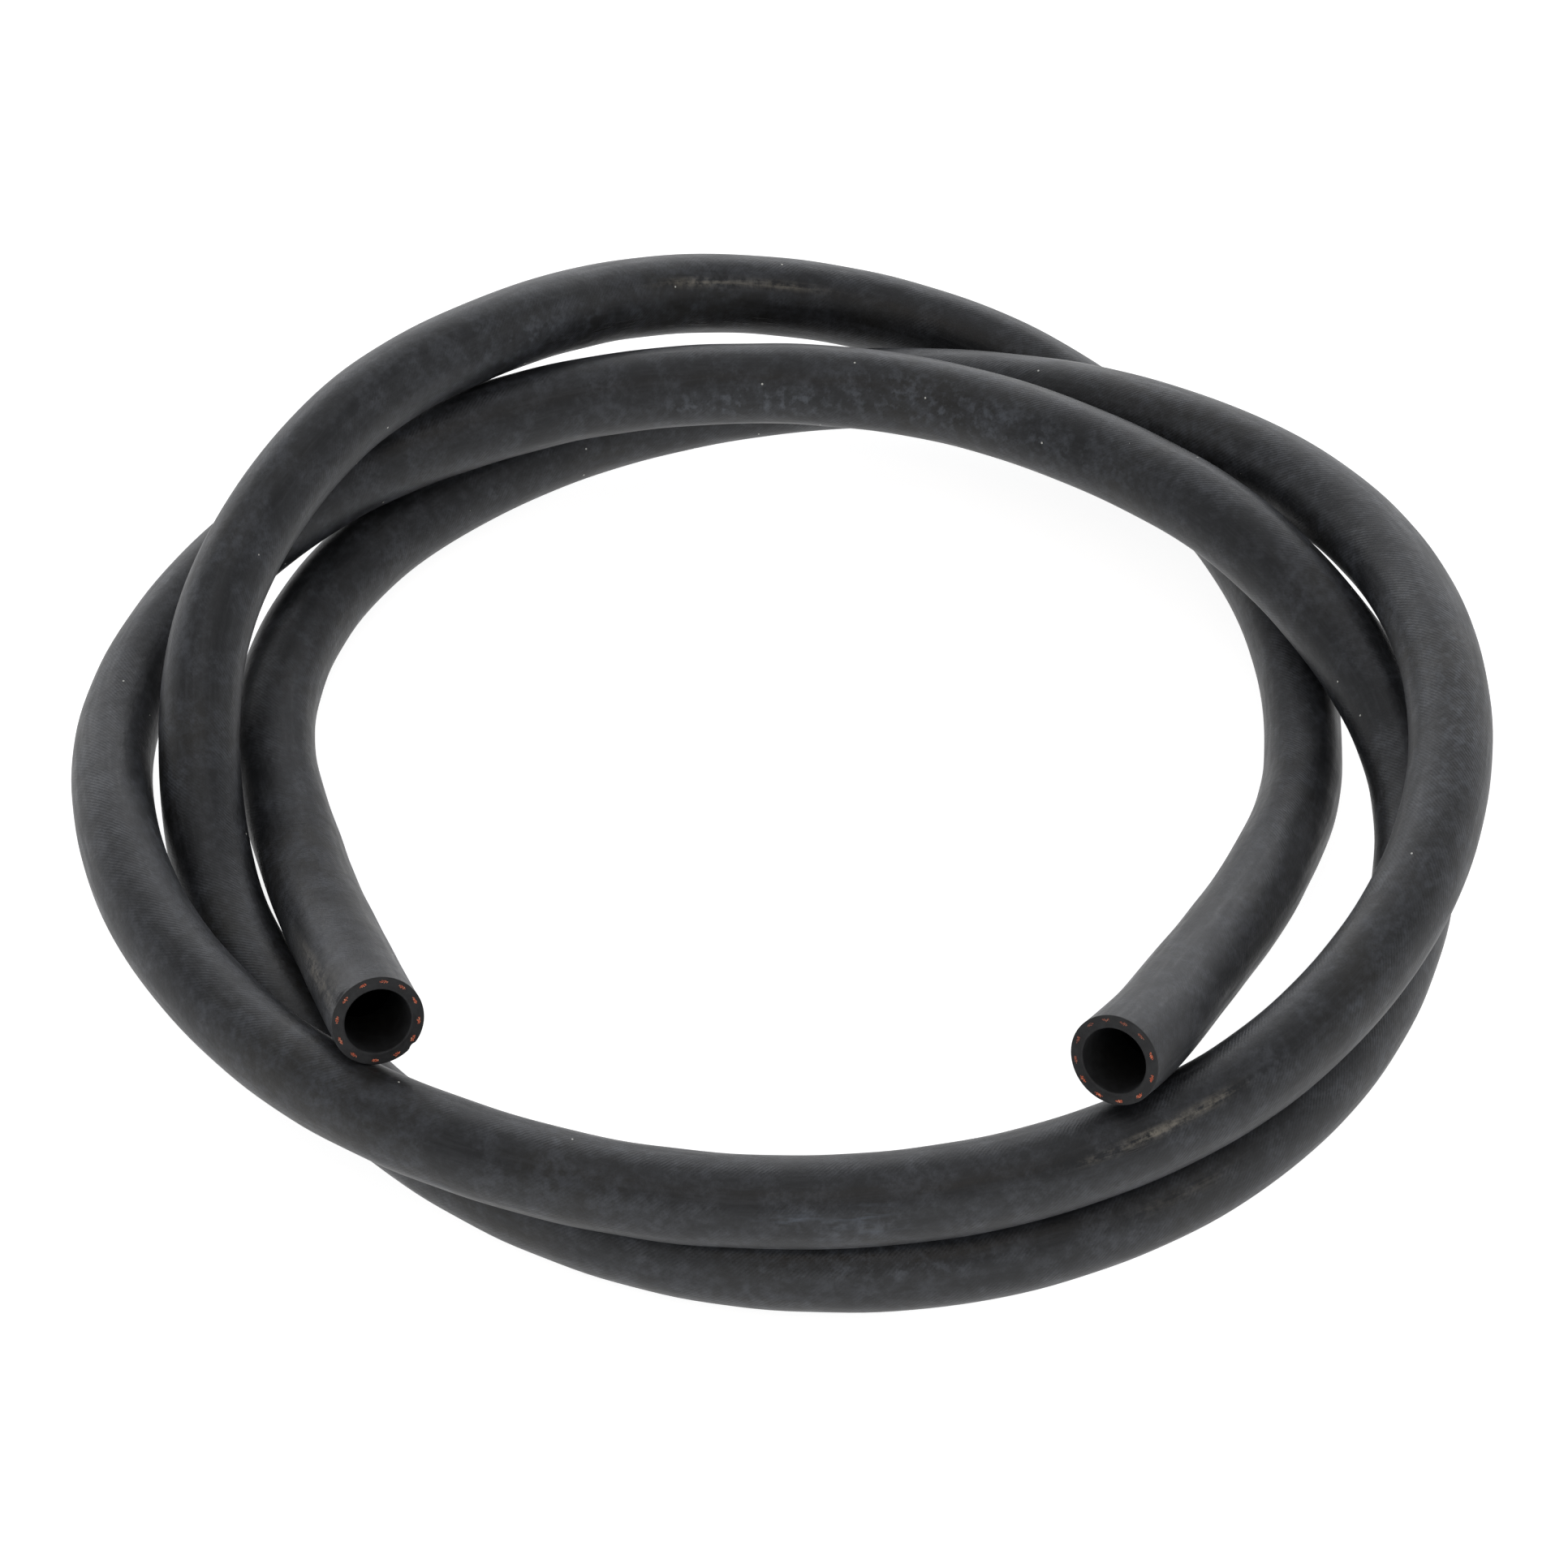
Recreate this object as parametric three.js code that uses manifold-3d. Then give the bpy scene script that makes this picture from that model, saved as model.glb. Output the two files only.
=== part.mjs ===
import * as THREE from 'three';
import { mergeVertices } from 'three/addons/utils/BufferGeometryUtils.js';
import Module from 'manifold-3d';

const wasm = await Module();
wasm.setup();

// A length of coolant hose lying in a loose coil. Millimetres, +Z up, the floor at z = 0.

// Hose section
const boreDiameter = 18;
const wallThickness = 3.5;
const outerDiameter = boreDiameter + 2 * wallThickness;

// Reinforcement yarns, which lie in one ring inside the wall and show where the hose is cut
const yarnWidth = 2.1;
const yarnThickness = 0.9;
const yarnCover = 0.8;
const yarnEndDepth = 1;
const yarnSeat = 0.3;

// Where each yarn sits round the cut face, in degrees from the horizontal: not quite evenly spaced
const yarnBearings = {
  left: [16, 44, 72, 101, 132, 163, 193, 223, 255, 287, 319, 346],
  right: [31, 61, 91, 115, 142, 173, 202, 231, 260, 292, 326, 358],
};

// The coil, wound clockwise seen from above, from the left cut end to the right one
const coilRadius = 175;
const startBearing = -118;
const bearingStep = -24;

// Where the hose runs at every step of bearing, in hose diameters: how far it lies outside the
// coil radius, and how high its centre is above the floor. Turns that touch keep a hair's gap.
// The first and last stations lie past the cuts, and give the cut ends their direction. The cut
// steps say how far from those stations the cuts are, in steps of bearing.
const leftCutStep = 0.5;
const rightCutStep = 0.32;
const stations = [
  [0.68, 3.04], [-0.84, 1.58], [-1.26, 0.68], [-0.8, 0.56], [-0.48, 0.5], [-0.44, 0.56],
  [-0.38, 0.72], [-0.24, 1.02], [-0.1, 1.54], [0.28, 1.92], [0.44, 2.26], [0.54, 2.17], [0.48, 1.86],
  [0.41, 1.81], [0.16, 1.56], [0.22, 1.48], [0.42, 1.24], [0.74, 1.2], [0.8, 0.98], [0.08, 1.38],
  [-0.78, 1.68], [-1.08, 1.64], [-1.12, 1.6], [-1.12, 1.68], [-0.8, 1.74], [0.02, 1.12], [0.38, 0.9],
  [0.56, 0.82], [0.46, 0.7], [0.14, 0.54], [-0.14, 0.52], [-0.34, 0.52], [-0.24, 0.66], [-0.16, 1.88],
  [-0.36, 2.66], [-0.2, 2.52], [0.66, 1.66], [0.9, 0.92], [0.28, 0.54], [-0.46, 0.52], [-1.02, 0.58],
  [-1.24, 1.3], [-0.81, 2.05], [0.75, 3.37],
];

// Facets
const outerSides = 18;
const boreSides = 12;
const yarnSides = 8;
const stepsPerStation = 3;
const pointsPerStation = 6;

const hoseSpan = stations.length - 1 - leftCutStep - rightCutStep;
const stepsBetweenCuts = Math.round(hoseSpan);
const degrees = THREE.MathUtils.degToRad;

function solidFrom(geometry) {
  const bare = geometry.clone();
  bare.deleteAttribute('normal');
  bare.deleteAttribute('uv');
  const merged = mergeVertices(bare);
  return new wasm.Manifold(new wasm.Mesh({
    numProp: 3,
    vertProperties: new Float32Array(merged.attributes.position.array),
    triVerts: new Uint32Array(merged.index.array),
  }));
}

function geometryFrom(solid) {
  const mesh = solid.getMesh();
  const geometry = new THREE.BufferGeometry();
  geometry.setAttribute('position', new THREE.BufferAttribute(mesh.vertProperties, 3));
  geometry.setIndex(new THREE.BufferAttribute(mesh.triVerts, 1));
  geometry.computeVertexNormals();
  return geometry;
}

// Route: the stations joined smoothly, then turned from bearing, radius and height into space
function coilRoute() {
  const polar = stations.map(([lane, layer], i) => new THREE.Vector3(
    degrees(startBearing + i * bearingStep),
    coilRadius + lane * outerDiameter,
    layer * outerDiameter,
  ));
  const smooth = new THREE.CatmullRomCurve3(polar, false, 'catmullrom', 0.5);
  const pointCount = stepsBetweenCuts * pointsPerStation;
  const points = [];
  for (let i = 0; i <= pointCount; i += 1) {
    const station = leftCutStep + (i / pointCount) * hoseSpan;
    const { x: bearing, y: radius, z: height } = smooth.getPoint(station / (stations.length - 1));
    points.push(new THREE.Vector3(
      radius * Math.cos(bearing),
      radius * Math.sin(bearing),
      height,
    ));
  }
  const route = new THREE.CatmullRomCurve3(points);
  route.arcLengthDivisions = 8 * pointCount;
  return route;
}

// Hose: a round wall with an open bore, cut square at both ends
function hoseGeometry(route) {
  const section = new THREE.Shape(
    new THREE.EllipseCurve(0, 0, outerDiameter / 2, outerDiameter / 2)
      .getPoints(outerSides).slice(0, -1),
  );
  section.holes.push(new THREE.Path(
    new THREE.EllipseCurve(0, 0, boreDiameter / 2, boreDiameter / 2)
      .getPoints(boreSides).slice(0, -1),
  ));
  return new THREE.ExtrudeGeometry(section, {
    steps: stepsBetweenCuts * stepsPerStation,
    extrudePath: route,
    bevelEnabled: false,
  });
}

// A yarn's cut end: an oval that is wide along the ring, flush with the cut face
function yarnGeometry(grow) {
  const oval = new THREE.Shape(
    new THREE.EllipseCurve(0, 0, yarnWidth / 2 + grow, yarnThickness / 2 + grow)
      .getPoints(yarnSides).slice(0, -1),
  );
  return new THREE.ExtrudeGeometry(oval, { depth: yarnEndDepth + 2 * grow, bevelEnabled: false });
}

// Places of the yarns on one cut face, by matrices whose z points out of the hose
function yarnPlaces(face, outward, bearings) {
  const up = new THREE.Vector3(0, 0, 1);
  const across = new THREE.Vector3().crossVectors(up, outward).normalize();
  const rise = new THREE.Vector3().crossVectors(outward, across);
  const ringRadius = outerDiameter / 2 - yarnCover - yarnThickness / 2;
  return bearings.map((bearing) => {
    const angle = degrees(bearing);
    const radial = across.clone().multiplyScalar(Math.cos(angle))
      .addScaledVector(rise, Math.sin(angle));
    const along = new THREE.Vector3().crossVectors(radial, outward);
    const centre = face.clone().addScaledVector(radial, ringRadius)
      .addScaledVector(outward, -yarnEndDepth);
    return new THREE.Matrix4().makeBasis(along, radial, outward).setPosition(centre);
  });
}

const rubber = { color: 0x2b2c2e, roughness: 0.75, metalness: 0 };
const yarn = { color: 0xb4573c, roughness: 0.9, metalness: 0 };

const route = coilRoute();
const ends = {
  left: { face: route.getPoint(0), outward: route.getTangent(0).negate() },
  right: { face: route.getPoint(1), outward: route.getTangent(1) },
};

let hoseSolid = solidFrom(hoseGeometry(route));
const part = new THREE.Group();

for (const [side, { face, outward }] of Object.entries(ends)) {
  yarnPlaces(face, outward, yarnBearings[side]).forEach((place, k) => {
    const socket = yarnGeometry(yarnSeat).translate(0, 0, -yarnSeat).applyMatrix4(place);
    hoseSolid = hoseSolid.subtract(solidFrom(socket));
    const mesh = new THREE.Mesh(yarnGeometry(0), new THREE.MeshStandardMaterial(yarn));
    mesh.name = `yarn_${side}_${String(k + 1).padStart(2, '0')}`;
    mesh.applyMatrix4(place);
    part.add(mesh);
  });
}

const hose = new THREE.Mesh(geometryFrom(hoseSolid), new THREE.MeshStandardMaterial(rubber));
hose.name = 'hose';
part.add(hose);

// The origin is on the floor under the middle of the coil
hose.geometry.computeBoundingBox();
const { min, max } = hose.geometry.boundingBox;
part.position.set(-(min.x + max.x) / 2, -(min.y + max.y) / 2, -min.z);

export default part;
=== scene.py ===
import math

import bpy
import numpy as np
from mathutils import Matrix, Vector


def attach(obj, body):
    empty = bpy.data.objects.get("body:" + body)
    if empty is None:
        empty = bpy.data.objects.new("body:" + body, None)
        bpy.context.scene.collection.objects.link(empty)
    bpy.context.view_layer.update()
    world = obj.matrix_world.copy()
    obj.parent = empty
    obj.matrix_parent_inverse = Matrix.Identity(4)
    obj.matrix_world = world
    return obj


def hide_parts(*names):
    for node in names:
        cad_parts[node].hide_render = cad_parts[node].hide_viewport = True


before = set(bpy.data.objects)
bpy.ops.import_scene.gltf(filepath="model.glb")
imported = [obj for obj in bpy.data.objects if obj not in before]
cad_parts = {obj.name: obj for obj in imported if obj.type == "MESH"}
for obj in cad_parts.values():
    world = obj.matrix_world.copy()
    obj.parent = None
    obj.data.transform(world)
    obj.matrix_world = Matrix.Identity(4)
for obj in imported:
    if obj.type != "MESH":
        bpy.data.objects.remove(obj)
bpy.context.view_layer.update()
print("stage 1: frame loaded,", len(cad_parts), "nodes")

# A length of black coolant hose lying in a loose coil. Metres, +Z up, the floor at z = 0.

# Camera: it looks down along +Y, at the side where the cut ends lie
cameraSettings = {
    "elevation": 45.35,           # degrees above the floor
    "distance": 1.4472,           # from the aim point
    "aim": (0.0028, 0.0070, 0.0),
    "lens": 112.53,
    "sensor": 36.0,
}

cameraData = bpy.data.cameras.new("camera")
cameraData.lens = cameraSettings["lens"]
cameraData.sensor_width = cameraSettings["sensor"]
camera = bpy.data.objects.new("camera", cameraData)
bpy.context.collection.objects.link(camera)
elevation = math.radians(cameraSettings["elevation"])
towardsCamera = Vector((0, -math.cos(elevation), math.sin(elevation)))
camera.location = Vector(cameraSettings["aim"]) + cameraSettings["distance"] * towardsCamera
camera.rotation_euler = (math.pi / 2 - elevation, 0, 0)
bpy.context.scene.camera = camera

# Hose. Its route is the same as in the solid: for each station, how far it lies outside the
# coil radius and how high its centre is, both in hose diameters. The first and last stations
# lie past the cuts, by the cut steps.
hoseSettings = {
    "bore": 0.018,
    "wall": 0.0035,
    "coilRadius": 0.175,
    "coilCentre": (0.0048, -0.0067, 0.0),
    "startBearing": -118,
    "bearingStep": -24,
    "cutSteps": (0.5, 0.32),
    "stations": [
        (0.68, 3.04), (-0.84, 1.58), (-1.26, 0.68), (-0.8, 0.56), (-0.48, 0.5), (-0.44, 0.56),
        (-0.38, 0.72), (-0.24, 1.02), (-0.1, 1.54), (0.28, 1.92), (0.44, 2.26), (0.54, 2.17),
        (0.48, 1.86), (0.41, 1.81), (0.16, 1.56), (0.22, 1.48), (0.42, 1.24), (0.74, 1.2),
        (0.8, 0.98), (0.08, 1.38), (-0.78, 1.68), (-1.08, 1.64), (-1.12, 1.6), (-1.12, 1.68),
        (-0.8, 1.74), (0.02, 1.12), (0.38, 0.9), (0.56, 0.82), (0.46, 0.7), (0.14, 0.54),
        (-0.14, 0.52), (-0.34, 0.52), (-0.24, 0.66), (-0.16, 1.88), (-0.36, 2.66), (-0.2, 2.52),
        (0.66, 1.66), (0.9, 0.92), (0.28, 0.54), (-0.46, 0.52), (-1.02, 0.58), (-1.24, 1.3),
        (-0.81, 2.05), (0.75, 3.37),
    ],
    "sides": 96,
    "ringSpacing": 0.0040,        # along the body of the hose
    "fineSpacing": 0.0004,        # at the cut ends
    "fineLength": 0.006,          # how far from a cut the fine rings reach
    "spacingGrowth": 1.12,        # from one ring to the next, between fine and wide
    "boreSpacing": 0.026,
    "faceRings": 14,
    "rimRound": 0.00018,          # a sharp knife leaves a crisp rim
    "lip": 0.00016,               # the cut rubber curls up a little round the bore
    "lipWidth": 0.0005,
    "restGap": 0.00005,           # between turns that press on each other
    "contactReach": 0.004,        # how much further off than a diameter a turn is looked for
    "contactStep": 8,             # at every how many points of the route
    "floorGap": 0.00002,
    # how much narrower than round the hose is, at even steps along it: it flattens as it bends
    "flattening": [-0.012, 0.012, 0.024, 0.055, 0.062, 0.016, 0.073, 0.05,
                   0.023, 0.063, 0.064, 0.035, 0.122, 0.083, 0.09, -0.012],
    "heightShare": 0.35,          # of that flattening, what goes into height
    "unevenness": 0.00013,        # lumps that curing under a wrap leaves, plus or minus
    "unevenLength": 0.030,        # and how long they are
    "cordPoints": 900,
    "seed": 7,
}

outerRadius = hoseSettings["bore"] / 2 + hoseSettings["wall"]
boreRadius = hoseSettings["bore"] / 2


def unit(v):
    return v / np.linalg.norm(v, axis=-1, keepdims=True)


# The stations joined smoothly, in bearing, radius and height, then turned into space
def hoseRoute(settings, count=9000):
    diameter = 2 * outerRadius
    stations = np.array(settings["stations"])
    bearings = np.radians(settings["startBearing"] + settings["bearingStep"] * np.arange(len(stations)))
    radii = settings["coilRadius"] + stations[:, 0] * diameter
    polar = np.c_[bearings, radii, stations[:, 1] * diameter]
    padded = np.vstack([2 * polar[0] - polar[1], polar, 2 * polar[-1] - polar[-2]])
    last = len(stations) - 1
    at = np.linspace(settings["cutSteps"][0], last - settings["cutSteps"][1], count)
    k = np.clip(np.floor(at).astype(int), 0, last - 1)
    t = (at - k)[:, None]
    before, start, end, after = padded[k], padded[k + 1], padded[k + 2], padded[k + 3]
    leave, arrive = (end - before) / 2, (after - start) / 2
    bearing, radius, height = (
        (2 * t**3 - 3 * t**2 + 1) * start + (t**3 - 2 * t**2 + t) * leave
        + (3 * t**2 - 2 * t**3) * end + (t**3 - t**2) * arrive
    ).T
    points = np.c_[radius * np.cos(bearing), radius * np.sin(bearing), height]
    return points + np.array(settings["coilCentre"])


route = hoseRoute(hoseSettings)
routeLength = np.r_[0, np.cumsum(np.linalg.norm(np.diff(route, axis=0), axis=1))]
hoseLength = routeLength[-1]
routeDirection = unit(np.gradient(route, axis=0))
print("stage 2: the route is", round(hoseLength, 3), "m long")


# Centre, direction, side (away from the coil) and rise (up) of the hose at some lengths along it
def sectionsAt(along):
    centre = np.array([np.interp(along, routeLength, route[:, k]) for k in range(3)]).T
    direction = unit(np.array([np.interp(along, routeLength, routeDirection[:, k]) for k in range(3)]).T)
    side = unit(np.cross([0, 0, 1], direction))
    return centre, direction, side, np.cross(direction, side)


# A smooth field of lumps, about -1 to 1, over points of the straightened hose
def lumps(points, size, seed, waves=48, spread=(0.6, 1.6)):
    rng = np.random.default_rng(seed)
    heading = unit(rng.normal(size=(waves, 3)))
    frequency = rng.uniform(*spread, waves) * 2 * math.pi / size
    phase = rng.uniform(0, 2 * math.pi, waves)
    total = np.sin(points @ (heading * frequency[:, None]).T + phase).sum(axis=1)
    return total / math.sqrt(2 * waves)


# Where the hose is dented. "along" is the length from the left cut, and "around" is degrees from
# the side that faces away from the coil, turning up.
dents = [
    # a slit by the rim of the left cut, with the skin raised beside it, and a bite out of the rim
    {"along": 0.0012, "around": 42, "length": 0.0004, "width": 0.0026, "depth": 0.0005},
    {"along": 0.0022, "around": 48, "length": 0.0006, "width": 0.0030, "depth": -0.00025},
    {"along": 0.0, "around": 231, "length": 0.0008, "width": 0.0009, "depth": 0.0006},
]


# Where the outside is marked, placed as the dents are. Scuffs are rubbed pale, and some are painted
# highlight as well; dust is a grey bloom wiped into dabs, smears are slanting wipes of it, and worn
# skin is finely pitted and painted dark, in one place as painted shade.
scuffsAndHighlights = [
    # the first five are rubbed streaks and painted highlight at once, where a lamp's reflection lies along
    # two turns
    {"along": 0.862, "around": 54, "length": 0.009, "width": 0.0012, "strength": 0.6},
    {"along": 0.879, "around": 50, "length": 0.009, "width": 0.0012, "strength": 0.8},
    {"along": 0.894, "around": 46, "length": 0.007, "width": 0.0009, "strength": 0.45},
    {"along": 2.602, "around": 131, "length": 0.014, "width": 0.0014, "strength": 0.55},
    {"along": 2.630, "around": 129, "length": 0.014, "width": 0.0012, "strength": 0.45},
    {"along": 1.975, "around": 46, "length": 0.016, "width": 0.0018, "strength": 0.15},
    {"along": 0.012, "around": 40, "length": 0.012, "width": 0.0040, "strength": 0.2},
    {"along": 0.030, "around": 30, "length": 0.018, "width": 0.0020, "strength": 0.35},
]
dust = [
    {"along": 1.515, "around": 170, "length": 0.020, "width": 0.004, "strength": 1.0},
    {"along": 1.540, "around": 165, "length": 0.018, "width": 0.005, "strength": 0.8},
    {"along": 1.575, "around": 140, "length": 0.022, "width": 0.007, "strength": 0.6},
    {"along": 1.620, "around": 150, "length": 0.030, "width": 0.007, "strength": 0.6},
    {"along": 2.530, "around": 165, "length": 0.030, "width": 0.005, "strength": 0.7},
    {"along": 1.213, "around": 140, "length": 0.040, "width": 0.006, "strength": 0.4},
    {"along": 0.700, "around": 90, "length": 0.060, "width": 0.008, "strength": 0.4},
    {"along": 0.958, "around": 14, "length": 0.016, "width": 0.004, "strength": 0.5},
    {"along": 2.050, "around": 50, "length": 0.030, "width": 0.006, "strength": 0.5},
]
smears = [
    {"along": 0.972, "around": 16, "length": 0.009, "width": 0.0045, "strength": 1.0},
    {"along": 0.952, "around": 24, "length": 0.006, "width": 0.0040, "strength": 0.7},
]
wornAndShade = [
    {"along": 2.560, "around": 186, "length": 0.020, "width": 0.0022, "strength": 1.0},
    {"along": 2.610, "around": 190, "length": 0.020, "width": 0.0020, "strength": 0.8},
    # painted shade as well as pits: this patch sits beside the painted highlight on the front turn, where
    # the reflection gives way to shade
    {"along": 0.884, "around": 42, "length": 0.012, "width": 0.0013, "strength": 0.9},
]
marks = {"scuffAndHighlight": scuffsAndHighlights, "dust": dust, "smear": smears, "wornAndShade": wornAndShade}


# How much a list of soft-edged patches covers each point
def patches(along, around, places, amount):
    total = np.zeros_like(along)
    for place in places:
        turn = (around - math.radians(place["around"]) + math.pi) % (2 * math.pi) - math.pi
        reach = ((along - place["along"]) / place["length"]) ** 2
        reach += (turn * outerRadius / place["width"]) ** 2
        total += place[amount] * np.exp(-reach)
    return total


# Rings close together at the cuts, and further apart along the body
def ringPlaces(settings):
    head = list(np.arange(settings["fineSpacing"], settings["fineLength"], settings["fineSpacing"]))
    spacing = settings["fineSpacing"]
    while spacing < settings["ringSpacing"]:
        head.append(head[-1] + spacing)
        spacing *= settings["spacingGrowth"]
    count = round((hoseLength - 2 * head[-1]) / settings["ringSpacing"])
    body = np.linspace(head[-1], hoseLength - head[-1], count + 1)[1:-1]
    return np.r_[head, body, hoseLength - np.array(head[::-1])]


# Which of the hose's three materials a row has
outsideKind, cutKind, boreKind = 0, 1, 2


# One loop of rows: along the outside, over the right face, back through the bore and over the
# left face. A row is (length along the hose, radius).
def hoseRows(settings):
    outside = [(s, outerRadius) for s in ringPlaces(settings)]
    roundness = settings["rimRound"]
    face = []
    for quarter in (0, 45, 90):
        angle = math.radians(quarter)
        face.append((roundness * (1 - math.sin(angle)), outerRadius - roundness * (1 - math.cos(angle))))
    inner = np.linspace(outerRadius - roundness, boreRadius + roundness, settings["faceRings"])[1:]
    fromLip = (inner - boreRadius - settings["lipWidth"]) / settings["lipWidth"]
    curl = settings["lip"] * np.exp(-fromLip ** 2)
    face += list(zip(-curl, inner))
    for quarter in (45, 90):
        angle = math.radians(quarter)
        face.append((roundness * (1 - math.cos(angle)), boreRadius + roundness * (1 - math.sin(angle))))
    boreCount = round(hoseLength / settings["boreSpacing"])
    bore = [(s, boreRadius) for s in np.linspace(hoseLength, 0, boreCount + 1)[1:-1]]
    rightFace = [(hoseLength - back, r) for back, r in face]
    leftFace = face[::-1]
    cut = [cutKind] * len(face)
    kinds = [outsideKind] * len(outside) + cut + [boreKind] * len(bore) + cut
    return np.array(outside + rightFace + bore + leftFace), np.array(kinds)


# Where turns press on each other both give way, up to the plane half-way between their centres
def easeContacts(points, s, settings):
    near = 2 * outerRadius + settings["contactReach"]
    reach = route[::settings["contactStep"]]
    reachLength = routeLength[::settings["contactStep"]]
    eased = points.copy()
    for along in np.unique(s):
        rows = np.where(s == along)[0]
        centre = sectionsAt(np.array([along]))[0][0]
        apart = np.linalg.norm(reach - centre, axis=1)
        others = reach[(apart < near) & (np.abs(reachLength - along) > 4 * outerRadius)]
        if not len(others):
            continue
        ring = eased[rows]
        which = np.linalg.norm(ring[:, None] - others[None], axis=2).argmin(axis=1)
        other = others[which]
        towards = unit(other - centre)
        past = ((ring - (centre + other) / 2) * towards).sum(axis=1) + settings["restGap"] / 2
        eased[rows] = ring - np.maximum(past, 0)[:, None] * towards
    eased[:, 2] = np.maximum(eased[:, 2], settings["floorGap"])
    return eased


def newMesh(name, points, faces, materials, kinds=None):
    mesh = bpy.data.meshes.new(name)
    mesh.from_pydata(points.tolist(), [], faces.tolist())
    mesh.polygons.foreach_set("use_smooth", np.ones(len(faces), bool))
    for material in materials:
        mesh.materials.append(material)
    if kinds is not None:
        mesh.polygons.foreach_set("material_index", kinds.astype(np.int32))
    mesh.update()
    piece = bpy.data.objects.new(name, mesh)
    bpy.context.collection.objects.link(piece)
    return piece


def addAttribute(piece, name, kind, values):
    attribute = piece.data.attributes.new(name, kind, "POINT")
    field = "vector" if kind == "FLOAT_VECTOR" else "value"
    attribute.data.foreach_set(field, np.ascontiguousarray(values, dtype=np.float32).ravel())


# Materials

def hexToLinear(code):
    channels = [int(code[k:k + 2], 16) / 255 for k in (1, 3, 5)]
    return [c / 12.92 if c <= 0.04045 else ((c + 0.055) / 1.055) ** 2.4 for c in channels] + [1.0]


def addNode(tree, kind, values=None, links=None, **options):
    node = tree.nodes.new(kind)
    for name, value in options.items():
        setattr(node, name, value)
    for name, value in (values or {}).items():
        node.inputs[name].default_value = value
    for name, source in (links or {}).items():
        tree.links.new(source, node.inputs[name])
    return node


def newMaterial(name):
    material = bpy.data.materials.new(name)
    material.use_nodes = True
    material.node_tree.nodes.clear()
    return material, material.node_tree


# Pattern sizes are millimetres on the real hose, and a texture's scale is one over its size
def perMetre(millimetres):
    return 1000 / millimetres


def attribute(tree, name, output="Fac"):
    return addNode(tree, "ShaderNodeAttribute", attribute_name=name).outputs[output]


# A noise, from settings of (size in mm, detail, roughness)
def noise(tree, pattern, vector):
    size, detail, rough = pattern
    return addNode(tree, "ShaderNodeTexNoise", {
        "Scale": perMetre(size), "Detail": detail, "Roughness": rough}, {"Vector": vector}).outputs["Fac"]


# A mask, from settings of (value where it starts, value where it is full, least, most)
def mask(tree, edges, value):
    start, end, least, most = edges
    return addNode(tree, "ShaderNodeMapRange", {
        "From Min": start, "From Max": end, "To Min": least, "To Max": most}, {
        "Value": value}).outputs["Result"]


# A sum on numbers and sockets
def maths(tree, operation, *entries, clamp=False):
    values = {k: entry for k, entry in enumerate(entries) if isinstance(entry, (int, float))}
    links = {k: entry for k, entry in enumerate(entries) if k not in values}
    return addNode(tree, "ShaderNodeMath", values, links, operation=operation, use_clamp=clamp).outputs[0]


# One colour laid over another. The lower one is a hex code or what was painted before.
def paint(tree, under, over, amount):
    values, links = {7: hexToLinear(over)}, {0: amount}
    if isinstance(under, str):
        values[6] = hexToLinear(under)
    else:
        links[6] = under
    return addNode(tree, "ShaderNodeMix", values, links, data_type="RGBA").outputs[2]


# The end of every material: its relief, in metres, and its shader
def finishMaterial(tree, height, values, links):
    bump = addNode(tree, "ShaderNodeBump", {"Strength": 1.0, "Distance": 1.0}, {"Height": height})
    shader = addNode(tree, "ShaderNodeBsdfPrincipled", values, {**links, "Normal": bump.outputs["Normal"]})
    addNode(tree, "ShaderNodeOutputMaterial", links={"Surface": shader.outputs["BSDF"]})


# EPDM rubber cured under a wrap: near black, satin, with a grey bloom in blotches, faint drag
# streaks along it, and a fine slanting ripple that shows where light grazes it
rubberSettings = {
    "base": "#151618",
    "bloom": "#333539",
    "haze": "#28292b",
    "warm": "#1c1b19",
    "dust": "#4e5258",
    "smear": "#505863",
    # painted highlight as well as rubbed rubber: this pale colour also stands for a lamp's reflection
    "scuffAndHighlight": "#857f73",
    # painted shade as well as worn rubber: this near black also stands for shade beside a reflection
    "wornAndShade": "#0e0e0f",
    "speck": "#b4b4ae",
    "ior": 1.52,
    "specular": 0.32,
    "blotch": (11, 5, 0.62),
    "blotchMask": (0.41, 0.60, 0.12, 1.0),
    "mottle": (2.6, 5, 0.68),
    "mottleMask": (0.40, 0.62, 0.2, 1.0),
    "cloud": (60, 2, 0.6),
    "warmMask": (0.48, 0.66, 0.0, 1.0),
    "dustyMask": (0.42, 0.6, 0.0, 1.0),
    "dustEverywhere": 0.22,
    "streak": (1.7, 4, 0.6),
    "streakStretch": 0.10,
    "hazeMask": (0.5, 0.72, 0.0, 0.8),
    "roughMask": (0.3, 0.7, 0.38, 0.54),
    "dustRoughness": 0.7,
    "dab": (3.2, 4, 0.62),
    "dabMask": (0.50, 0.66, 0.0, 0.7),
    "wipe": (3.2, 3, 0.6),
    "wipeMask": (0.5, 0.64, 0.0, 0.7),
    "wipeSlant": 38,              # degrees
    "wipeStretch": 0.16,
    "scuffAndHighlightMask": (0.86, 1.16, 0.0, 1.0),
    "pit": (1.1, 2, 0.6),
    "pitMask": (0.56, 0.64, 0.0, 1.0),
    "pitDepth": 0.0002,
    "speckCell": 9,               # mm
    "speckSize": 0.035,           # share of its cell
    "speckPick": 0.55,            # cells with a random value above this have a speck
    "grain": (0.9, 3, 0.65),      # the real grain is about 0.2 mm, too fine to show
    "grainHeight": 0.00007,
    "lump": (8, 2, 0.6),
    "lumpHeight": 0.00026,
    "rippleStarts": 60,           # slanting lines round the hose
    "rippleWobble": 7.0,
    "rippleMask": (0.36, 0.56, 0.15, 1.0),
    "rippleHeight": 0.000014,
}


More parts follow.
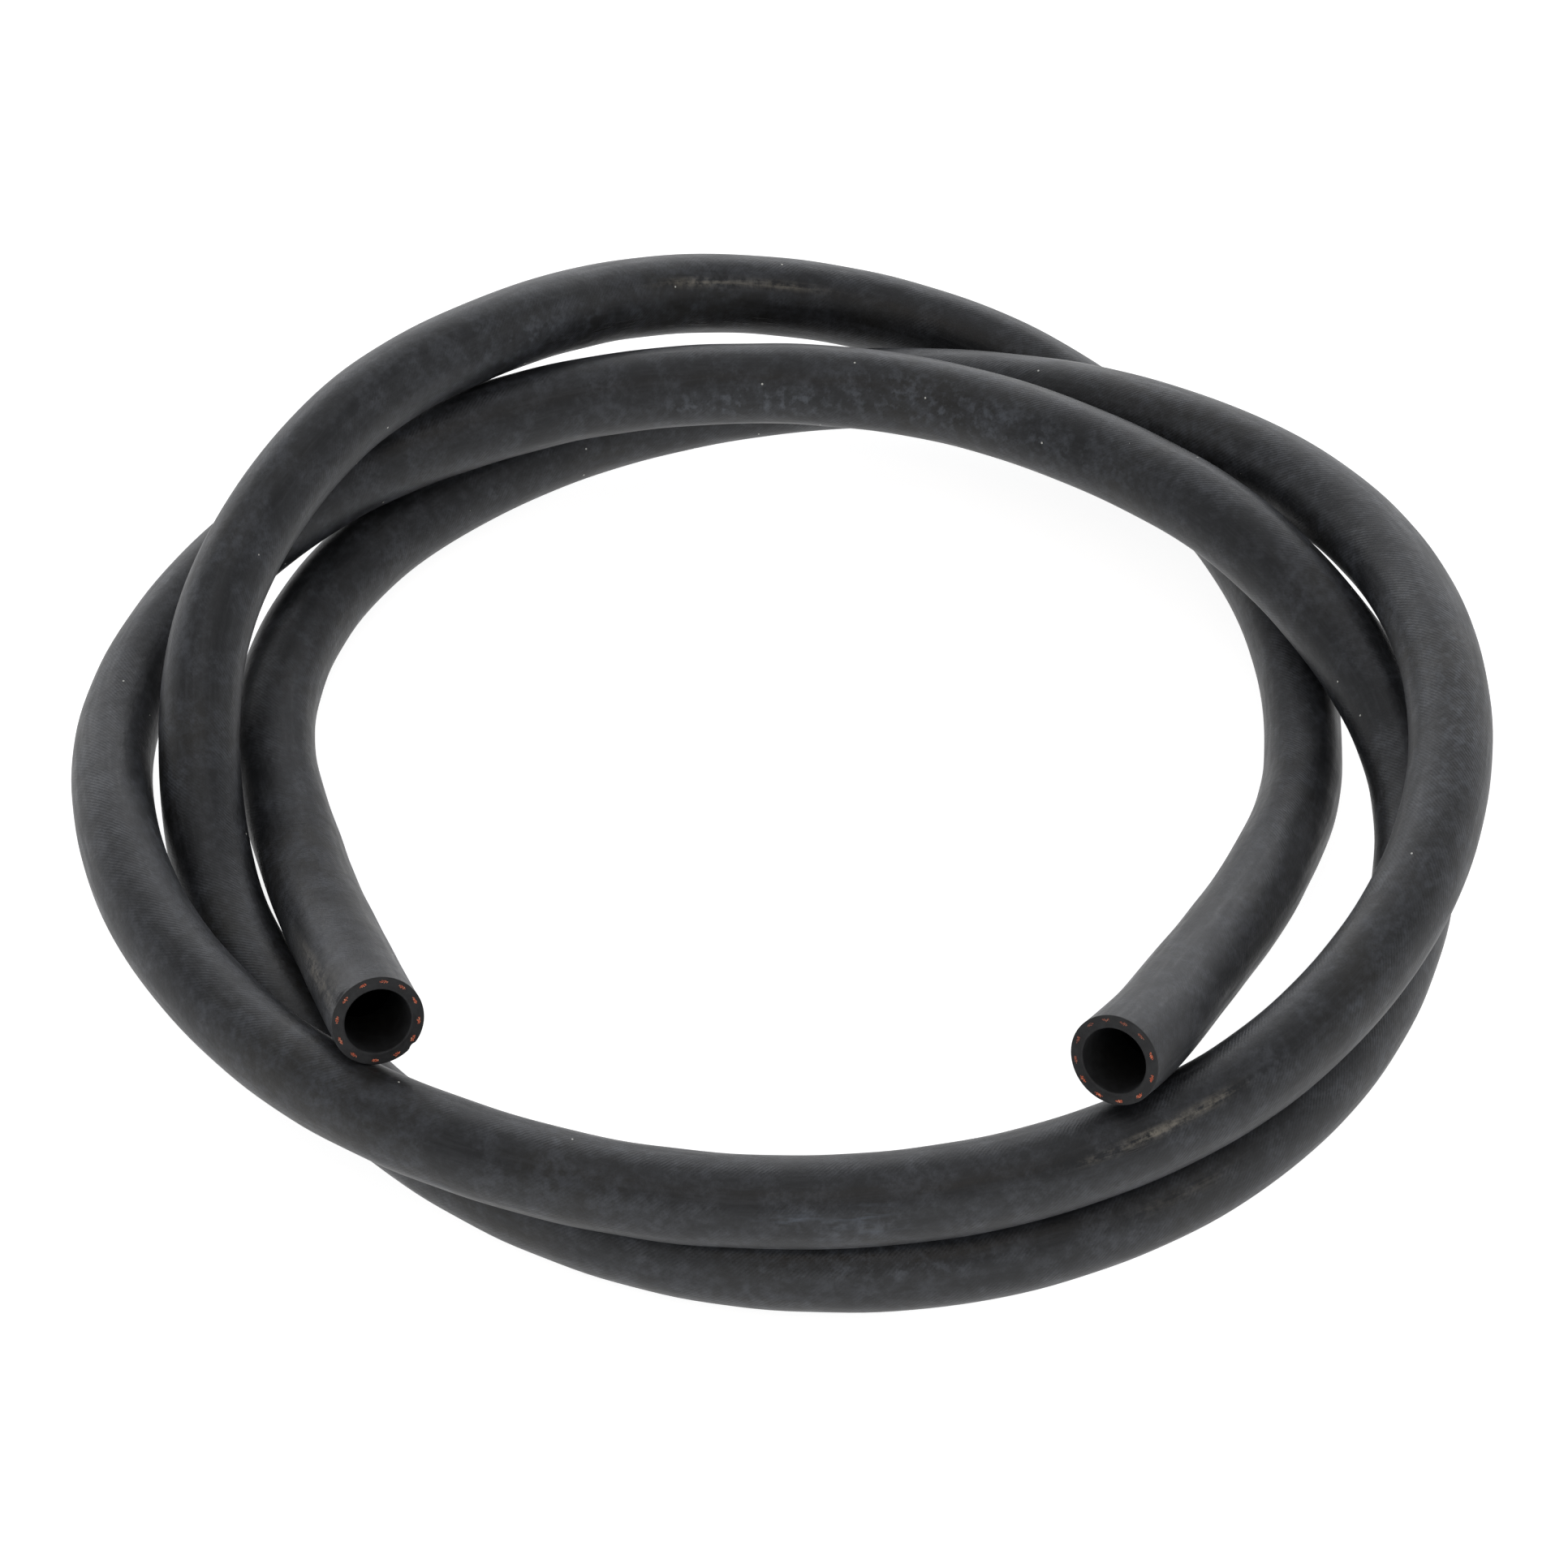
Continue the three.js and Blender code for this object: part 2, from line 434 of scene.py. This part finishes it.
def rubberOutside(settings):
    material, tree = newMaterial("wrap cured EPDM rubber")
    straight = attribute(tree, "straight", "Vector")
    mark = {name: attribute(tree, name) for name in marks}
    lengthwise = addNode(tree, "ShaderNodeVectorMath", {
        1: (settings["streakStretch"], 1, 1)}, {0: straight}, operation="MULTIPLY").outputs["Vector"]
    slanting = addNode(tree, "ShaderNodeMapping", {
        "Rotation": (0, math.radians(settings["wipeSlant"]), 0),
        "Scale": (settings["wipeStretch"], 1, 1)}, {"Vector": straight}).outputs["Vector"]
    blotch = noise(tree, settings["blotch"], straight)
    mottle = noise(tree, settings["mottle"], straight)
    streak = noise(tree, settings["streak"], lengthwise)
    cloud = noise(tree, settings["cloud"], straight)

    # colour: bloom gathers where blotches and mottle meet
    blotched = mask(tree, settings["blotchMask"], blotch)
    bloomed = maths(tree, "MULTIPLY", blotched, mask(tree, settings["mottleMask"], mottle))
    colour = paint(tree, settings["base"], settings["warm"], mask(tree, settings["warmMask"], cloud))
    colour = paint(tree, colour, settings["haze"], mask(tree, settings["hazeMask"], streak))
    colour = paint(tree, colour, settings["bloom"], bloomed)

    # bloom wiped into dabs, all over a little and most where it is marked
    dusty = mask(tree, settings["dustyMask"], cloud)
    dusty = maths(tree, "MULTIPLY_ADD", dusty, settings["dustEverywhere"], mark["dust"], clamp=True)
    dab = mask(tree, settings["dabMask"], noise(tree, settings["dab"], straight))
    dabbed = maths(tree, "MULTIPLY", dusty, dab)
    colour = paint(tree, colour, settings["dust"], dabbed)
    wipe = mask(tree, settings["wipeMask"], noise(tree, settings["wipe"], slanting))
    wiped = maths(tree, "MULTIPLY", mark["smear"], wipe, clamp=True)
    colour = paint(tree, colour, settings["smear"], wiped)

    # scuffs, partly painted highlight, are broken up by the streaks and the mottle, and worn skin is in
    # pits, partly painted shade
    broken = mask(tree, settings["scuffAndHighlightMask"], maths(tree, "ADD", streak, mottle))
    scuffedAndHighlit = maths(tree, "MULTIPLY", mark["scuffAndHighlight"], broken, clamp=True)
    # painted highlight: the pale scuff colour, on some turns standing for a lamp's reflection
    colour = paint(tree, colour, settings["scuffAndHighlight"], scuffedAndHighlit)
    pit = mask(tree, settings["pitMask"], noise(tree, settings["pit"], lengthwise))
    pittedAndShaded = maths(tree, "MULTIPLY", mark["wornAndShade"], pit, clamp=True)
    # painted shade: near black in the pits, in one place standing for shade beside a reflection
    colour = paint(tree, colour, settings["wornAndShade"], pittedAndShaded)

    # sparse light specks of dust
    cells = addNode(tree, "ShaderNodeTexVoronoi", {"Scale": perMetre(settings["speckCell"])}, {
        "Vector": straight})
    near = maths(tree, "LESS_THAN", cells.outputs["Distance"], settings["speckSize"])
    picked = maths(tree, "GREATER_THAN", cells.outputs["Color"], settings["speckPick"])
    colour = paint(tree, colour, settings["speck"], maths(tree, "MULTIPLY", near, picked))

    # relief: the ripple runs round the hose on a slant, strong in some places and gone in others
    parts = addNode(tree, "ShaderNodeSeparateXYZ", links={0: straight}).outputs
    angle = maths(tree, "ARCTAN2", parts["Z"], parts["Y"])
    turning = maths(tree, "MULTIPLY", angle, settings["rippleStarts"])
    slant = maths(tree, "MULTIPLY_ADD", parts["X"], settings["rippleStarts"] / outerRadius, turning)
    wobble = maths(tree, "MULTIPLY_ADD", mottle, settings["rippleWobble"], slant)
    wave = maths(tree, "MULTIPLY", maths(tree, "SINE", wobble), settings["rippleHeight"])
    height = maths(tree, "MULTIPLY", wave, mask(tree, settings["rippleMask"], blotch))
    grain = noise(tree, settings["grain"], straight)
    height = maths(tree, "MULTIPLY_ADD", grain, settings["grainHeight"], height)
    lump = noise(tree, settings["lump"], straight)
    height = maths(tree, "MULTIPLY_ADD", lump, settings["lumpHeight"], height)
    height = maths(tree, "MULTIPLY_ADD", pittedAndShaded, -settings["pitDepth"], height)

    rubbed = mask(tree, settings["roughMask"], streak)
    rough = maths(tree, "MAXIMUM", rubbed, maths(tree, "MULTIPLY", dabbed, settings["dustRoughness"]))
    finishMaterial(tree, height, {
        "IOR": settings["ior"], "Specular IOR Level": settings["specular"]}, {
        "Base Color": colour, "Roughness": rough})
    return material


# The same rubber where a knife cut it: matt charcoal with the faint lines of the blade
cutSettings = {
    "base": "#19191a",
    "light": "#222324",
    "ior": 1.52,
    "specular": 0.3,
    "roughness": 0.62,
    "patch": (3, 3, 0.5),
    "patchMask": (0.42, 0.66, 0.0, 1.0),
    "line": (0.35, 2, 0.5),       # the first is mm between blade lines
    "lineSlant": 28,              # degrees
    "lineStretch": 0.06,
    "lineHeight": 0.00002,
    "grain": (0.5, 4, 0.7),
    "grainHeight": 0.00005,
}


def rubberCut(settings):
    material, tree = newMaterial("knife cut EPDM rubber")
    straight = attribute(tree, "straight", "Vector")
    slanted = addNode(tree, "ShaderNodeMapping", {
        "Rotation": (math.radians(settings["lineSlant"]), 0, 0),
        "Scale": (1, 1, settings["lineStretch"])}, {"Vector": straight}).outputs["Vector"]
    patch = mask(tree, settings["patchMask"], noise(tree, settings["patch"], straight))
    colour = paint(tree, settings["base"], settings["light"], patch)
    lines = maths(tree, "MULTIPLY", noise(tree, settings["line"], slanted), settings["lineHeight"])
    grain = noise(tree, settings["grain"], straight)
    height = maths(tree, "MULTIPLY_ADD", grain, settings["grainHeight"], lines)
    finishMaterial(tree, height, {
        "IOR": settings["ior"], "Specular IOR Level": settings["specular"],
        "Roughness": settings["roughness"]}, {"Base Color": colour})
    return material


# The bore, moulded on a smooth mandrel: glossier, and painted blacker than the outside as painted shade
# deep inside it, with drag lines along it
boreSettings = {
    # painted shade: a base darker than the outside rubber, for the shade inside the bore
    "base": "#0c0c0d",
    "haze": "#151516",
    "ior": 1.52,
    "specular": 0.5,
    "roughness": 0.27,
    "cloud": (5, 4, 0.5),
    "cloudMask": (0.45, 0.7, 0.0, 1.0),
    "line": (0.8, 3, 0.5),
    "lineStretch": 0.04,
    "lineHeight": 0.00003,
}


def rubberBore(settings):
    material, tree = newMaterial("mandrel moulded EPDM rubber")
    straight = attribute(tree, "straight", "Vector")
    lengthwise = addNode(tree, "ShaderNodeVectorMath", {
        1: (settings["lineStretch"], 1, 1)}, {0: straight}, operation="MULTIPLY").outputs["Vector"]
    cloud = mask(tree, settings["cloudMask"], noise(tree, settings["cloud"], straight))
    colour = paint(tree, settings["base"], settings["haze"], cloud)
    height = maths(tree, "MULTIPLY", noise(tree, settings["line"], lengthwise), settings["lineHeight"])
    finishMaterial(tree, height, {
        "IOR": settings["ior"], "Specular IOR Level": settings["specular"],
        "Roughness": settings["roughness"]}, {"Base Color": colour})
    return material


def buildHose(settings):
    rows, rowKinds = hoseRows(settings)
    sides = settings["sides"]
    s = np.repeat(rows[:, 0], sides)
    radius = np.repeat(rows[:, 1], sides)
    turn = np.tile(np.arange(sides) * 2 * math.pi / sides, len(rows))
    straight = np.c_[s, radius * np.cos(turn), radius * np.sin(turn)]

    # the outside is a little uneven, and dented where it is marked
    outwards = np.clip((radius - boreRadius) / settings["wall"], 0, 1)
    uneven = settings["unevenness"] * lumps(straight, settings["unevenLength"], settings["seed"])
    shaped = radius + outwards * (uneven - patches(s, turn, dents, "depth"))
    knots = np.linspace(0, hoseLength, len(settings["flattening"]))
    narrow = np.interp(s, knots, settings["flattening"])
    centre, direction, side, rise = sectionsAt(s)
    centre = centre + direction * (s - np.clip(s, 0, hoseLength))[:, None]
    sideways = (shaped * np.cos(turn) * (1 - narrow))[:, None] * side
    upwards = (shaped * np.sin(turn) * (1 + settings["heightShare"] * narrow))[:, None] * rise
    points = centre + sideways + upwards
    outside = np.repeat(rowKinds, sides) == outsideKind
    points[outside] = easeContacts(points[outside], s[outside], settings)

    here = np.arange(len(rows))[:, None] * sides + np.arange(sides)[None]
    after = np.roll(here, -1, axis=0)
    quads = np.stack([here, np.roll(here, -1, axis=1), np.roll(after, -1, axis=1), after], axis=-1)
    touchesCut = (rowKinds == cutKind) | (np.roll(rowKinds, -1) == cutKind)
    kinds = np.where(touchesCut, cutKind, rowKinds)
    piece = newMesh(
        "hose_cover", points, quads.reshape(-1, 4)[:, ::-1],
        [rubberOutside(rubberSettings), rubberCut(cutSettings), rubberBore(boreSettings)],
        np.repeat(kinds, sides),
    )
    addAttribute(piece, "straight", "FLOAT_VECTOR", straight)
    for name, places in marks.items():
        addAttribute(piece, name, "FLOAT", patches(s, turn, places, "strength"))
    return piece


hose = buildHose(hoseSettings)
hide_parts("hose")
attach(hose, "root")
print("stage 3: hose made,", len(hose.data.polygons), "faces")

# Reinforcement: twelve yarns show in each cut face, where the knife left their fibres frayed
yarnSettings = {
    "width": 0.0023,              # a little more than in the solid, as the cut ends fray
    "thickness": 0.0010,
    "cover": 0.0008,
    "bearings": {
        "left": [16, 44, 72, 101, 132, 163, 193, 223, 255, 287, 319, 346],
        "right": [31, 61, 91, 115, 142, 173, 202, 231, 260, 292, 326, 358],
    },
    # how much rubber dust hides each yarn, in the same order
    "soot": {
        "left": [0.1, 0.3, 0.35, 0.1, 0.2, 0.2, 0.3, 0.25, 0.1, 0.05, 0.05, 0.1],
        "right": [0.1, 0.6, 0.55, 0.7, 0.7, 0.6, 0.5, 0.15, 0.1, 0.15, 0.15, 0.1],
    },
    "fibres": 26,
    "fibreRadius": 0.00013,
    "fibreSides": 8,
    "depth": 0.0007,              # how far the fibres reach into the rubber
    "height": (0.00005, 0.00038), # how far they stand out of the cut
    "lean": 0.00025,
    "yarnLean": 0.6,              # spread of a whole yarn's lean along the ring
    "fibreLean": (0.5, 0.25),     # and of a fibre's, along the ring and across it
    "turnStep": 2.4,              # radians, sunflower order
    "turnSpread": 0.2,
    "radiusSpread": (0.85, 1.2),
    "sootSpread": 0.15,
    "sootShortens": 0.6,          # of a fibre's height, where soot hides it
    "seed": 21,
}

# Spun polyester yarn, dyed orange red: matt, with pale painted highlights on fibres picked at random,
# standing for where a fibre catches the light
yarnFinish = {
    "base": "#cf5f38",
    # painted highlight: the pale colour of the fibres that catch the light
    "pale": "#f4b892",
    "dark": "#6a2a1c",
    "soot": "#3a211c",
    "ior": 1.55,
    "roughness": 0.7,
    "sheen": 0.25,
    "fleck": (0.35, 3, 0.6),
    "fleckHeight": 0.00003,
    "paleMask": (0.7, 1.0, 0.0, 1.0),
    "darkMask": (0.56, 0.72, 0.0, 1.0),
}


def yarnMaterial(settings):
    material, tree = newMaterial("spun polyester yarn")
    where = addNode(tree, "ShaderNodeTexCoord").outputs["Object"]
    fleck = noise(tree, settings["fleck"], where)
    pale = mask(tree, settings["paleMask"], attribute(tree, "strand"))
    # painted highlight: pale colour on fibres picked at random over the dye
    dyedAndHighlit = paint(tree, settings["base"], settings["pale"], pale)
    shaded = paint(tree, dyedAndHighlit, settings["dark"], mask(tree, settings["darkMask"], fleck))
    colour = paint(tree, shaded, settings["soot"], attribute(tree, "soot"))
    height = maths(tree, "MULTIPLY", fleck, settings["fleckHeight"])
    finishMaterial(tree, height, {
        "IOR": settings["ior"], "Roughness": settings["roughness"],
        "Sheen Weight": settings["sheen"]}, {"Base Color": colour})
    return material


# One fibre: a short round rod from inside the rubber to a blunt tip
def fibreRod(start, tip, radius, sides):
    axis = unit(tip - start)
    across = unit(np.cross(axis, [0.3, 0.5, 0.8]))    # any direction that no fibre has
    other = np.cross(axis, across)
    angles = np.arange(sides) * 2 * math.pi / sides
    circle = np.cos(angles)[:, None] * across + np.sin(angles)[:, None] * other
    levels = [(0, 1), (0.5, 1.05), (0.85, 0.95), (0.97, 0.6)]    # how far up, and how thick there
    rings = [start + (tip - start) * at + circle * radius * size for at, size in levels]
    points = np.vstack(rings + [tip, start])
    faces = []
    for level in range(len(levels) - 1):
        for k in range(sides):
            a, b = level * sides + k, level * sides + (k + 1) % sides
            faces += [(a, b, b + sides), (a, b + sides, a + sides)]
    top = (len(levels) - 1) * sides
    for k in range(sides):
        faces.append((top + k, top + (k + 1) % sides, len(levels) * sides))
        faces.append(((k + 1) % sides, k, len(levels) * sides + 1))
    return points, np.array(faces)


def buildYarns(end, along, outwardSign, settings, material):
    rng = np.random.default_rng(settings["seed"] + (end == "right"))
    centre, direction, side, rise = (v[0] for v in sectionsAt(np.array([along])))
    outward = outwardSign * direction
    across = outwardSign * side
    ringRadius = outerRadius - settings["cover"] - settings["thickness"] / 2
    points, faces, strands, soots = [], [], [], []
    total = 0
    for bearing, soot in zip(settings["bearings"][end], settings["soot"][end]):
        angle = math.radians(bearing)
        radial = across * math.cos(angle) + rise * math.sin(angle)
        tangent = np.cross(radial, outward)
        middle = centre + radial * ringRadius
        lay = rng.normal(0, settings["yarnLean"])
        for fibre in range(settings["fibres"]):
            spread = math.sqrt((fibre + 0.5) / settings["fibres"])
            turned = fibre * settings["turnStep"] + rng.normal(0, settings["turnSpread"])
            a = math.cos(turned) * spread * (settings["width"] / 2 - settings["fibreRadius"])
            b = math.sin(turned) * spread * (settings["thickness"] / 2 - settings["fibreRadius"])
            foot = middle + tangent * a + radial * b
            lean = tangent * (lay + rng.normal(0, settings["fibreLean"][0]))
            lean = lean + radial * rng.normal(0, settings["fibreLean"][1])
            height = rng.uniform(*settings["height"]) * (1 - settings["sootShortens"] * soot)
            rod, rodFaces = fibreRod(
                foot - outward * settings["depth"],
                foot + outward * height + lean * settings["lean"],
                settings["fibreRadius"] * rng.uniform(*settings["radiusSpread"]),
                settings["fibreSides"],
            )
            points.append(rod)
            faces.append(rodFaces + total)
            total += len(rod)
            strands.append(np.full(len(rod), rng.uniform()))
            more = max(0, rng.normal(0, settings["sootSpread"]))
            soots.append(np.full(len(rod), min(1, soot + more)))
    piece = newMesh(f"yarn_ends_{end}", np.vstack(points), np.vstack(faces), [material])
    addAttribute(piece, "strand", "FLOAT", np.concatenate(strands))
    addAttribute(piece, "soot", "FLOAT", np.concatenate(soots))
    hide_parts(*[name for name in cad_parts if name.startswith(f"yarn_{end}_")])
    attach(piece, "root")
    return piece


yarnFibre = yarnMaterial(yarnFinish)
leftYarns = buildYarns("left", 0, -1, yarnSettings, yarnFibre)
rightYarns = buildYarns("right", hoseLength, 1, yarnSettings, yarnFibre)
print("stage 4: yarn ends made,", len(leftYarns.data.polygons) + len(rightYarns.data.polygons), "faces")

# Floor and light: a pale table in a white room, brightest low down at the back
stageSettings = {
    "floorSize": 6.0,
    "floor": "#a6a6a6",
    "floorRoughness": 0.9,
    "floorSpecular": 0.1,
    "grainScale": 250.0,          # over the whole table
    "grainDetail": 2,
    "grainHeight": 0.00002,
    "glow": "#ffffff",
    "floorGlow": 0.90,            # an opal table lit from below as well, which takes the shadows out
    # a glow is in the direction "towards", from "start" to "end" of its cosine
    "walls": 0.47,
    "glows": [
        {"towards": (0, 0, -1), "start": -0.50, "end": -0.20, "strength": 0.62},
        {"towards": (0, 1, 0), "start": 0.45, "end": 0.80, "strength": 1.6},
        {"towards": (0, -1, 0), "start": 0.84, "end": 0.96, "strength": 0.8},
        {"towards": (0, 0, 1), "start": 0.86, "end": 0.97, "strength": 0.7},
    ],
    "tint": "#fbfcff",
    "lamps": [
        {
            "name": "warm_strip", "at": (0.0, -1.30, 1.95), "size": (1.4, 0.22),
            "watts": 3, "colour": "#ffe6c4",
        },
    ],
}


def buildStage(settings):
    half = settings["floorSize"] / 2
    corners = np.array([(-half, -half, 0), (half, -half, 0), (half, half, 0), (-half, half, 0)])
    material, tree = newMaterial("opal light table")
    grain = addNode(tree, "ShaderNodeTexNoise", {
        "Scale": settings["grainScale"], "Detail": settings["grainDetail"]}).outputs["Fac"]
    height = maths(tree, "MULTIPLY", grain, settings["grainHeight"])
    finishMaterial(tree, height, {
        "Base Color": hexToLinear(settings["floor"]), "Roughness": settings["floorRoughness"],
        "Specular IOR Level": settings["floorSpecular"], "Emission Color": hexToLinear(settings["glow"]),
        "Emission Strength": settings["floorGlow"]}, {})
    floor = newMesh("floor", corners, np.array([(0, 1, 2, 3)]), [material])

    world = bpy.data.worlds.new("white room")
    world.use_nodes = True
    room = world.node_tree
    looking = addNode(room, "ShaderNodeTexCoord").outputs["Generated"]
    total = settings["walls"]
    for glow in settings["glows"]:
        cosine = addNode(room, "ShaderNodeVectorMath", {1: glow["towards"]}, {
            0: looking}, operation="DOT_PRODUCT").outputs["Value"]
        amount = addNode(room, "ShaderNodeMapRange", {
            "From Min": glow["start"], "From Max": glow["end"], "To Max": glow["strength"]}, {
            "Value": cosine}, interpolation_type="SMOOTHSTEP").outputs["Result"]
        total = maths(room, "ADD", amount, total)
    room.links.new(total, room.nodes["Background"].inputs["Strength"])
    room.nodes["Background"].inputs["Color"].default_value = hexToLinear(settings["tint"])
    bpy.context.scene.world = world

    for lamp in settings["lamps"]:
        data = bpy.data.lights.new(lamp["name"], "AREA")
        data.shape = "RECTANGLE"
        data.size, data.size_y = lamp["size"]
        data.energy = lamp["watts"]
        data.color = hexToLinear(lamp["colour"])[:3]
        light = bpy.data.objects.new(lamp["name"], data)
        light.location = lamp["at"]
        light.rotation_euler = (-Vector(lamp["at"])).to_track_quat("-Z", "Y").to_euler()
        bpy.context.collection.objects.link(light)
    bpy.context.scene.view_settings.view_transform = "Standard"


buildStage(stageSettings)
print("stage 5: floor and lights placed")
